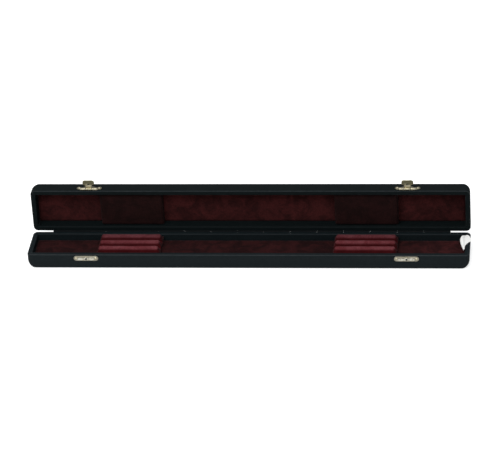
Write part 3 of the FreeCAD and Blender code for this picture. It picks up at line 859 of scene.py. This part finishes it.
def makeSheet(name, seed):
    tray = trays[name]
    low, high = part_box(name + "_outer_sheet")
    halfX = high.x
    halfY = (high.y - low.y) / 2.0 if name == "base" else (high.z - low.z) / 2.0
    depth = tray["depth"]
    edge = sheetShape["edge"]
    rings = [(0.0, depth - 0.8 * mm), (0.0, depth - edge)]
    rings += [(edge * (1.0 - math.cos(math.radians(angle))),
               depth - edge * (1.0 - math.sin(math.radians(angle)))) for angle in (30, 60, 90)]
    rings.append((1.5 * mm, depth))
    points = []
    for inset, level in rings:
        for x, y in roundedRing(halfX - inset, halfY - inset, sheetShape["corner"] - inset * 0.5,
                                sheetShape["steps"]):
            points.append(tray["place"](x, y, level))
    ringLength = len(points) // len(rings)
    faces = loftFaces(len(rings), ringLength, False)
    faces.append(tuple(range(ringLength)))
    faces.append(tuple(range((len(rings) - 1) * ringLength, len(rings) * ringLength)))
    return makePiece(name + "OuterSheet", points, faces, leatherette[name], name,
                     [name + "_outer_sheet"])


for seed, trayName in enumerate(trays):
    makeSheet(trayName, 9.0 + seed)
print("outer sheets made")


# Plush lining on the board of each tray
liningShape = {
    "clearance": 0.1 * mm,
    "edge": 0.9 * mm,
    "rise": 0.22 * mm,
    "steps": (170, 26),
}


def makeLining(name, seed):
    tray = trays[name]
    shape = liningShape
    halfX = halfLength - wall - shape["clearance"]
    halfY = halfWidth - wall - shape["clearance"]
    edge = shape["edge"]

    def pointAt(partX, partY):
        x = (2.0 * partX - 1.0) * halfX
        y = (2.0 * partY - 1.0) * halfY
        gap = min(halfX - abs(x), halfY - abs(y))
        fall = edge - math.sqrt(max(0.0, edge * edge - max(0.0, edge - gap) ** 2))
        soft = shape["rise"] * wobble((x, y, 0), 16 * mm, seed)
        soft += shape["rise"] * 0.4 * wobble((x, y, 0), 4 * mm, seed + 3)
        return tray["place"](x, y, tray["lining"] + fall * 0.8 - soft * 0.5)

    def bottomAt(partX, partY):
        return tray["place"]((2.0 * partX - 1.0) * halfX, (2.0 * partY - 1.0) * halfY,
                             tray["card"])

    points, faces = heightField(*shape["steps"], pointAt, bottomAt)
    look = plush["liningPlush"] if name == "base" else plush["lidPlush"]
    return makePiece(name + "Lining", points, faces, look, name, [name + "_lining"])


for seed, trayName in enumerate(trays):
    makeLining(trayName, 21.0 + seed)
print("linings made")


# Ribbed rests in the base, each a ribbed block with plush over it
restShape = {
    "ribs": 3,
    "lift": 1.1 * mm,           # how far the soft ribs stand over the plain rest's height
    "groove": 5.8 * mm,
    "fullness": 0.85,           # 1 is a plain cosine, less is fuller
    "endRadius": 3.6 * mm,
    "flank": 0.3 * mm,          # how far the outer flanks are drawn in
    "plush": 1.2 * mm,
    "unevenness": 0.22 * mm,
    "steps": (78, 92),
}


def makeRest(side, seed):
    shape = restShape
    low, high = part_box("rest_plush_" + side)
    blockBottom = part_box("rest_block_" + side)[0].z
    tall = high.z - low.z + shape["lift"]
    stepsX, stepsY = shape["steps"]
    pitch = (high.y - low.y - 2.0 * shape["flank"]) / shape["ribs"]

    def heightAt(x, y):
        inside = (y - low.y - shape["flank"]) / pitch
        across = inside % 1.0 if 0.0 < inside < shape["ribs"] else 0.0
        over = max(0.0, shape["endRadius"] - min(x - low.x, high.x - x)) / shape["endRadius"]
        away = min(1.0, math.hypot(2.0 * across - 1.0, over))
        crown = math.cos(0.5 * math.pi * away) ** shape["fullness"]
        soft = shape["unevenness"] * wobble((x, y, 0), 9 * mm, seed) * crown
        soft += shape["unevenness"] * 0.35 * wobble((x, y, 0), 2.5 * mm, seed + 2)
        soft = min(0.0, soft - shape["unevenness"] * 0.4)
        return low.z + tall - shape["groove"] * (1.0 - crown) + soft

    def wallOrTop(part, steps):
        # The outermost steps are kept for the upright sides
        onWall = not 0.5 < part * steps < steps - 0.5
        return onWall, min(1.0, max(0.0, (part * steps - 1.0) / (steps - 2.0)))

    def pointAt(partX, partY, inset=0.0):
        wallX, alongX = wallOrTop(partX, stepsX)
        wallY, alongY = wallOrTop(partY, stepsY)
        x = low.x + (high.x - low.x) * alongX
        y = low.y + (high.y - low.y) * alongY
        z = low.z if wallX or wallY else heightAt(x, y) - inset
        return Vector((x + inset * (1.0 - 2.0 * alongX), y + inset * (1.0 - 2.0 * alongY), z))

    def underPlush(partX, partY):
        return pointAt(partX, partY, shape["plush"])

    def onBlock(partX, partY):
        point = pointAt(partX, partY, shape["plush"] + 0.02 * mm)
        return Vector((point.x, point.y, max(point.z, blockBottom + 0.05 * mm)))

    def underBlock(partX, partY):
        point = onBlock(partX, partY)
        return Vector((point.x, point.y, blockBottom))

    points, faces = heightField(stepsX, stepsY, onBlock, underBlock)
    makePiece("restBlock" + side.capitalize(), points, faces, wood, "base",
              ["rest_block_" + side])
    points, faces = heightField(stepsX, stepsY, pointAt, underPlush)
    rest = makePiece("rest" + side.capitalize(), points, faces, plush["restPlush"], "base",
                     ["rest_plush_" + side])
    return rest


for seed, side in enumerate(("left", "right")):
    makeRest(side, 31.0 + seed)
print("rests made")


# Pads in the lid, opposite the rests
padShape = {
    "edge": 1.5 * mm,
    "endRadius": 2.2 * mm,
    "crown": 0.6 * mm,
    "unevenness": 0.2 * mm,
    "steps": (52, 32),
}


def makePad(side, seed):
    shape = padShape
    low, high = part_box("pad_plush_" + side)
    thick = high.y - low.y

    def pointAt(partX, partY):
        x = low.x + (high.x - low.x) * partX
        z = low.z + (high.z - low.z) * partY
        acrossPart = 2.0 * partY - 1.0
        rise = thick - shape["crown"] * acrossPart * acrossPart
        for gap, radius in ((min(x - low.x, high.x - x), shape["endRadius"]),
                            (min(z - low.z, high.z - z), shape["edge"])):
            over = max(0.0, radius - gap) / radius
            rise -= radius * (1.0 - math.sqrt(max(0.0, 1.0 - over * over))) * 0.9
        soft = shape["unevenness"] * wobble((x, z, 0), 10 * mm, seed)
        rise += min(0.0, soft - shape["unevenness"] * 0.3)
        return Vector((x, high.y - max(rise, 0.2 * mm), z))

    def bottomAt(partX, partY):
        return Vector((low.x + (high.x - low.x) * partX, high.y,
                       low.z + (high.z - low.z) * partY))

    points, faces = heightField(*shape["steps"], pointAt, bottomAt)
    pad = makePiece("pad" + side.capitalize(), points, faces, plush["padPlush"], "lid",
                    ["pad_plush_" + side])
    return pad


for seed, side in enumerate(("left", "right")):
    makePad(side, 41.0 + seed)
print("pads made")


# Nails with domed heads
nailShape = {
    "sides": 24,
    "shank": 0.42 * mm,
    "dome": ((1.0, 0.0), (1.0, 0.16), (0.96, 0.38), (0.86, 0.62), (0.68, 0.82), (0.42, 0.96),
             (0.12, 1.0)),      # shares of the head's radius and height
    "height": 0.45 * mm,
}


def makeNails(node, outward, body, material):
    shape = nailShape
    axis = max(range(3), key=lambda index: abs(outward[index]))
    parts = []
    for low, high in loosePartBoxes(node):
        middle = (low + high) / 2.0
        radius = max((high - low)[index] for index in range(3) if index != axis) / 2.0
        top = high[axis] if outward[axis] > 0 else low[axis]
        origin = middle.copy()
        origin[axis] = top - outward[axis] * shape["height"]
        reach = (high - low)[axis] - shape["height"]
        profile = [(-reach, shape["shank"] * 0.3), (-reach * 0.8, shape["shank"]),
                   (0.0, shape["shank"])]
        profile += [(part * shape["height"], share * radius) for share, part in shape["dome"]]
        parts.append(lathe(profile, shape["sides"], origin, outward, True))
    points, faces = joinParts(parts)
    return makePiece(node + "_domed", points, faces, material, body, [node])


makeNails("latch_nails_base", Vector((0, -1, 0)), "base", brassNails)
makeNails("latch_nails_lid", Vector((0, 0, 1)), "lid", brassNails)
makeNails("hinge_nails_base", Vector((0, 1, 0)), "base", blackSteel)
makeNails("hinge_nails_lid", Vector((0, 0, -1)), "lid", blackSteel)
print("nails made")


# Catch plates on the base: two embossed lobes, and a keeper standing out of a slot
catchShape = {
    "thickness": 0.6 * mm,
    "fromRim": 1.4 * mm,
    "corner": 2.55 * mm,
    "edge": 0.16 * mm,
    "lobe": (3.5 * mm, 1.5 * mm),       # half its length and height
    "lobeOut": 5.4 * mm,
    "lobeDrop": 0.6 * mm,
    "lobeRise": 0.4 * mm,
    "slot": (0.92 * mm, 1.3 * mm),
    "slotUnder": 1.9 * mm,              # from the keeper down to the middle of the slot
    "cheek": (0.5 * mm, 1.3 * mm),      # the raised sides of the slot
    "cheekOut": 1.5 * mm,
    "cheekTop": 1.2 * mm,
    "keeper": (0.62 * mm, 0.32 * mm),
    "keeperReach": 2.4 * mm,
    "keeperFromRim": 2.6 * mm,
    "steps": (48, 6, 9),
}


def makeCatch(side):
    shape = catchShape
    low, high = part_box("catch_plate_" + side)
    top = baseHigh.z - shape["fromRim"]
    middleX = (low.x + high.x) / 2.0
    middleZ = (low.z + top) / 2.0
    keeper = baseHigh.z - shape["keeperFromRim"] - middleZ
    thickness = shape["thickness"]

    def onPlate(u, v, w):
        return Vector((middleX + u, baseLow.y - w, middleZ + v))

    def lobes(u, v):
        along = (abs(u) - shape["lobeOut"]) / shape["lobe"][0]
        across = (v + shape["lobeDrop"]) / shape["lobe"][1]
        return shape["lobeRise"] * math.sqrt(max(0.0, 1.0 - along * along - across * across))

    def ring(half, corner, away=0.0, up=0.0):
        return [(u + away, v + up) for u, v in roundedRing(*half, corner, shape["steps"])]

    outline = ring(((high.x - low.x) / 2.0, (top - low.z) / 2.0), shape["corner"])
    slotMiddle = keeper - shape["slotUnder"]
    slot = ring(shape["slot"], 0.35 * mm, up=slotMiddle)
    parts = [plateParts(outline, thickness, shape["edge"], onPlate, lobes, slot)]
    for away in (-shape["cheekOut"], shape["cheekOut"]):
        cheek = ring(shape["cheek"], 0.3 * mm, away, slotMiddle)
        parts.append(plateParts(cheek, shape["cheekTop"], 0.3 * mm, onPlate))
    stud = ring(shape["keeper"], 0.15 * mm, up=keeper)
    parts.append(plateParts(stud, shape["keeperReach"], 0.15 * mm, onPlate))
    points, faces = joinParts(parts)
    return makePiece("catch" + side.capitalize(), points, faces, catchBrass, "base",
                     ["catch_plate_" + side])


# Latches on the lid: a scalloped plate with two barrels and a lever between them
latchShape = {
    "sheet": 0.6 * mm,
    "edge": 0.16 * mm,
    "domeTop": 7.4 * mm,        # from the axis to the back of the plate's middle
    "domeHalf": 9.6 * mm,
    "wing": 2.55 * mm,          # radius round the nails
    "wingTop": 4.9 * mm,
    "barrel": 1.3 * mm,
    "bore": 0.6 * mm,
    "earFrom": 3.35 * mm,
    "earTo": 8.55 * mm,
    "tubeEdge": 0.16 * mm,
    "leverSheet": 0.7 * mm,
    "neck": 3.1 * mm,
    "neckTo": 3.7 * mm,
    "tabFrom": 4.9 * mm,
    "tab": 6.0 * mm,
    "straight": 7.8 * mm,
    "lipRadius": 2.15 * mm,
    "lipTurn": 45.0,
    "corner": 2.0 * mm,
    "window": (1.2 * mm, 4.1 * mm, 5.3 * mm),   # half width, and from where to where
}


def tubeParts(low, high, outer, bore, edge, origin):
    profile = [(low, bore), (low, outer - edge), (low + edge * 0.3, outer - edge * 0.3),
               (low + edge, outer), (high - edge, outer),
               (high - edge * 0.3, outer - edge * 0.3), (high, outer - edge), (high, bore)]
    return lathe(profile, 28, origin, Vector((1, 0, 0)), False)


def plateOutline(nailOut, nailFrom, halfLength):
    shape = latchShape
    front = []
    back = []
    count = 72
    for index in range(count + 1):
        turn = math.pi * index / count
        u = -halfLength * math.cos(turn)
        out = abs(u) - nailOut
        wing = math.sqrt(max(0.0, shape["wing"] ** 2 - out * out)) if out > 0 else shape["wing"]
        dome = shape["domeTop"] * max(0.0, 1.0 - (u / shape["domeHalf"]) ** 2) ** 0.55
        upper = nailFrom + wing if out > 0 else min(nailFrom + wing, shape["wingTop"])
        if -2.0 * mm < out <= 0:
            part = -out / (2.0 * mm)
            upper = (nailFrom + wing) * (1.0 - part) + shape["wingTop"] * part
        back.append((u, max(upper, dome)))
        lower = nailFrom - wing
        if out < 0:
            part = min(1.0, -out / (1.9 * mm))
            lower *= 1.0 - part * part * (3.0 - 2.0 * part)
        front.append((u, lower))
    return front + list(reversed(back[1:-1]))


def makeLatchPlate(side, axis):
    shape = latchShape
    low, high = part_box("latch_plate_" + side)
    nail = min((corners for corners in loosePartBoxes("latch_nails_lid")
                if abs(corners[0].x - axis.x) < 20 * mm), key=lambda corners: corners[0].x)
    nailMiddle = (nail[0] + nail[1]) / 2.0

    def onLidTop(u, v, w):
        return Vector((axis.x + u, axis.y + v, low.z + w))

    outline = plateOutline(axis.x - nailMiddle.x, nailMiddle.y - axis.y,
                           (high.x - low.x) / 2.0)
    parts = [plateParts(outline, shape["sheet"], shape["edge"], onLidTop)]
    for start, end in ((-shape["earTo"], -shape["earFrom"]), (shape["earFrom"],
                                                              shape["earTo"])):
        parts.append(tubeParts(start, end, shape["barrel"], shape["bore"], shape["tubeEdge"],
                               axis))
    points, faces = joinParts(parts)
    return makePiece("latchPlate" + side.capitalize(), points, faces, latchBrass, "lid",
                     ["latch_plate_" + side])


def makeLever(side, axis):
    shape = latchShape
    middle = shape["barrel"] - shape["leverSheet"] / 2.0
    lipLength = shape["lipRadius"] * math.radians(shape["lipTurn"])
    length = shape["straight"] + lipLength
    halfWindow, windowFrom, windowTo = shape["window"]
    steps = [windowFrom * part / 5 for part in range(5)]
    steps += [windowFrom + (windowTo - windowFrom) * part / 5 for part in range(6)]
    steps += [windowTo + (length - windowTo) * part / 12 for part in range(1, 13)]

    def halfWidthAt(step):
        part = (step - shape["neckTo"]) / (shape["tabFrom"] - shape["neckTo"])
        part = min(1.0, max(0.0, part))
        half = shape["neck"] + (shape["tab"] - shape["neck"]) * part * part * (3 - 2 * part)
        over = max(0.0, step - length + shape["corner"])
        return half - shape["corner"] + math.sqrt(max(0.0, shape["corner"] ** 2 - over ** 2))

    points = []
    for step in steps:
        half = halfWidthAt(step)
        turn = max(0.0, step - shape["straight"]) / shape["lipRadius"]
        y = axis.y + middle + shape["lipRadius"] * (1.0 - math.cos(turn))
        z = axis.z + min(step, shape["straight"]) + shape["lipRadius"] * math.sin(turn)
        between = (half + halfWindow) / 2.0
        for x in (-half, -between, -halfWindow, -halfWindow / 2, 0.0, halfWindow / 2,
                  halfWindow, between, half):
            points.append(Vector((axis.x + x, y, z)))
    faces = []
    for row in range(len(steps) - 1):
        for column in range(8):
            inWindow = windowFrom - 1e-6 < steps[row] < windowTo - 1e-6 and 2 <= column <= 5
            if not inWindow:
                corner = row * 9 + column
                faces.append((corner, corner + 1, corner + 10, corner + 9))
    used = sorted({index for face in faces for index in face})
    renumbered = {index: place for place, index in enumerate(used)}
    points = [points[index] for index in used]
    faces = [tuple(renumbered[index] for index in face) for face in faces]
    sheet = thicken(points, faces, shape["leverSheet"])
    tube = tubeParts(-shape["neck"], shape["neck"], shape["barrel"], shape["bore"],
                     shape["tubeEdge"], axis)
    points, faces = joinParts([sheet, tube])
    lever = makePiece("lever" + side.capitalize(), points, faces, leverBrass,
                      "lever_" + side, ["latch_lever_" + side])
    softenEdges(lever, 0.1 * mm)
    return lever


for joint in frame["record"]["behaviour"]["joints"]:
    if joint["name"].startswith("latch_"):
        side = joint["name"].split("_")[1]
        makeCatch(side)
        makeLatchPlate(side, Vector(joint["pos_m"]))
        makeLever(side, Vector(joint["pos_m"]))
print("latches made")


# Blank paper tag over the right-hand end of the base, curling into it like a cone. Its front
# and rear edges are given as shares of the length from its outer end, and Y in millimetres.
tagShape = {
    "paper": 0.15 * mm,
    "outerEnd": 226.3 * mm,
    "wallInner": 219.9 * mm,
    "riseRadius": 1.8 * mm,
    "riseTurn": 50.0,
    "curlRadius": 4.0 * mm,
    "curlTurn": 150.0,
    "tail": 0.6 * mm,
    "coneFrom": (-12.5 * mm, 0.16),     # how far the curl is drawn in at its front edge
    "coneTo": (15.0 * mm, 1.0),
    "front": ((0.0, 5.0), (0.14, 2.6), (0.27, -1.4), (0.33, -4.0), (0.4, -12.0), (1.0, -12.2)),
    "rear": ((0.0, 6.4), (0.05, 10.4), (0.13, 15.2), (0.22, 17.4), (0.3, 17.0), (0.4, 15.6),
             (0.52, 13.4), (0.64, 10.2), (0.78, 4.4), (0.9, -3.4), (1.0, -11.6)),
    "steps": (72, 18),
}


def alongCurve(stops, part):
    for (start, first), (end, second) in zip(stops[:-1], stops[1:]):
        if part <= end:
            return (first + (second - first) * (part - start) / (end - start)) * mm
    return stops[-1][1] * mm


def makeTag():
    shape = tagShape
    flat = shape["outerEnd"] - shape["wallInner"]
    rise = math.radians(shape["riseTurn"])
    curl = math.radians(shape["curlTurn"])
    lengths = (flat, shape["riseRadius"] * rise, shape["curlRadius"] * curl, shape["tail"])
    whole = sum(lengths)
    level = baseHigh.z + 0.05 * mm + shape["paper"] / 2.0
    (narrowY, narrow), (wideY, wide) = shape["coneFrom"], shape["coneTo"]

    def pointAt(distance, y):
        size = narrow + (wide - narrow) * (y - narrowY) / (wideY - narrowY)
        left = distance - flat
        if left <= 0.0:
            return Vector((shape["outerEnd"] - distance, y, level))
        turn = min(left / shape["riseRadius"], rise)
        x = shape["riseRadius"] * math.sin(turn)
        z = shape["riseRadius"] * (1.0 - math.cos(turn))
        left = max(0.0, left - lengths[1])
        turn = min(left / shape["curlRadius"], curl)
        x += shape["curlRadius"] * (math.sin(rise) - math.sin(rise - turn))
        z += shape["curlRadius"] * (math.cos(rise - turn) - math.cos(rise))
        left = max(0.0, left - lengths[2])
        x = x * size + left * math.cos(rise - curl)
        z = z * size + left * math.sin(rise - curl)
        return Vector((shape["wallInner"] - x, y, level + z))

    points = []
    stepsAlong, stepsAcross = shape["steps"]
    for row in range(stepsAlong + 1):
        part = row / stepsAlong
        front = alongCurve(shape["front"], part)
        rear = alongCurve(shape["rear"], part)
        for column in range(stepsAcross + 1):
            points.append(pointAt(whole * part, front + (rear - front) * column / stepsAcross))
    rowLength = stepsAcross + 1
    faces = []
    for row in range(stepsAlong):
        for column in range(stepsAcross):
            corner = row * rowLength + column
            faces.append((corner, corner + 1, corner + rowLength + 1, corner + rowLength))
    points, faces = thicken(points, faces, shape["paper"])
    tag = makePiece("paperTag", points, faces, tagPaper, "base", ["paper_tag"])
    return tag


makeTag()
print("tag made")


# Floor, light and camera
studio = {
    "floorSize": 12.0,
    "floorDrop": 0.05 * mm,
    "floorTone": 0.80,
    "floorGlow": 0.62,          # keeps the floor near white for the camera alone
    "skyTone": (0.95, 0.98, 1.0, 1.0),
    "horizonTone": (0.30, 0.31, 0.31, 1.0),
    "worldStrength": 0.62,
    "keyPower": 16.0,
    "keySize": (1.4, 0.7),
    "keyPlace": (-0.35, -0.9, 1.25),
    "topPower": 3.2,
    "topSize": (1.6, 0.9),
    "topPlace": (0.2, 0.25, 1.5),
}


def makeFloor():
    half = studio["floorSize"] / 2.0
    level = -studio["floorDrop"]
    mesh = bpy.data.meshes.new("floor")
    mesh.from_pydata([(-half, -half, level), (half, -half, level), (half, half, level),
                      (-half, half, level)], [], [(0, 1, 2, 3)])
    floor = bpy.data.objects.new("floor", mesh)
    bpy.context.scene.collection.objects.link(floor)
    material, tree, shader, place = startMaterial("paleFloor", (0.9, 0.9, 0.9, 1.0))
    fine = tree.add("ShaderNodeTexNoise", {"Scale": 30.0, "Detail": 3.0}, {"Vector": place})
    tone = studio["floorTone"]
    colour = tree.ramp(fine.outputs["Fac"], [(0.3, tone * 0.985), (0.7, tone)])
    tree.tree.links.new(colour, shader.inputs["Base Color"])
    setInputs(shader, {"Roughness": 0.9, "Specular IOR Level": 0.1})
    seen = tree.add("ShaderNodeLightPath").outputs["Is Camera Ray"]
    glow = tree.math("MULTIPLY", seen, studio["floorGlow"])
    shader.inputs["Emission Color"].default_value = (1.0, 1.0, 1.0, 1.0)
    tree.tree.links.new(glow, shader.inputs["Emission Strength"])
    mesh.materials.append(material)


def makeLight(name, power, size, place, target):
    light = bpy.data.lights.new(name, "AREA")
    light.shape = "RECTANGLE"
    light.size, light.size_y = size
    light.energy = power
    lamp = bpy.data.objects.new(name, light)
    bpy.context.scene.collection.objects.link(lamp)
    lamp.location = place
    aim = Vector(target) - Vector(place)
    lamp.rotation_euler = aim.to_track_quat("-Z", "Y").to_euler()


def makeWorld():
    world = bpy.data.worlds.new("studio")
    world.use_nodes = True
    background = world.node_tree.nodes["Background"]
    tree = Tree(world.node_tree)
    direction = tree.add("ShaderNodeTexCoord").outputs["Generated"]
    height = tree.add("ShaderNodeSeparateXYZ", links={"Vector": direction}).outputs["Z"]
    colour = tree.ramp(height, [(0.05, studio["horizonTone"]), (0.75, studio["skyTone"])])
    tree.tree.links.new(colour, background.inputs["Color"])
    background.inputs["Strength"].default_value = studio["worldStrength"]
    bpy.context.scene.world = world


cameraFit = {
    "place": (318.75 * mm, -2533.7 * mm, 1502.6 * mm),
    "pan": -7.109,              # degrees from +Y towards +X
    "tilt": 29.847,             # degrees below the horizon
    "roll": -3.495,
    "focalPixels": 2904.9,
    "frameWidth": 500.0,
    "sensor": 36.0,
}


def makeCamera():
    fit = cameraFit
    pan, tilt, roll = (math.radians(fit[key]) for key in ("pan", "tilt", "roll"))
    ahead = Vector((math.sin(pan) * math.cos(tilt), math.cos(pan) * math.cos(tilt),
                    -math.sin(tilt)))
    levelRight = Vector((math.cos(pan), -math.sin(pan), 0.0))
    levelUp = levelRight.cross(ahead)
    right = levelRight * math.cos(roll) + levelUp * math.sin(roll)
    up = levelUp * math.cos(roll) - levelRight * math.sin(roll)
    data = bpy.data.cameras.new("camera")
    data.sensor_width = fit["sensor"]
    data.lens = fit["focalPixels"] * fit["sensor"] / fit["frameWidth"]
    data.clip_start = 0.1
    data.clip_end = 50.0
    camera = bpy.data.objects.new("camera", data)
    bpy.context.scene.collection.objects.link(camera)
    turned = Matrix((right, up, -ahead)).transposed().to_4x4()
    camera.matrix_world = Matrix.Translation(Vector(fit["place"])) @ turned
    bpy.context.scene.camera = camera


makeFloor()
makeWorld()
caseMiddle = (0.0, 0.0, 0.03)
makeLight("key", studio["keyPower"], studio["keySize"], studio["keyPlace"], caseMiddle)
makeLight("top", studio["topPower"], studio["topSize"], studio["topPlace"], caseMiddle)
makeCamera()
bpy.context.scene.view_settings.view_transform = "Standard"
print("floor, lights and camera made")
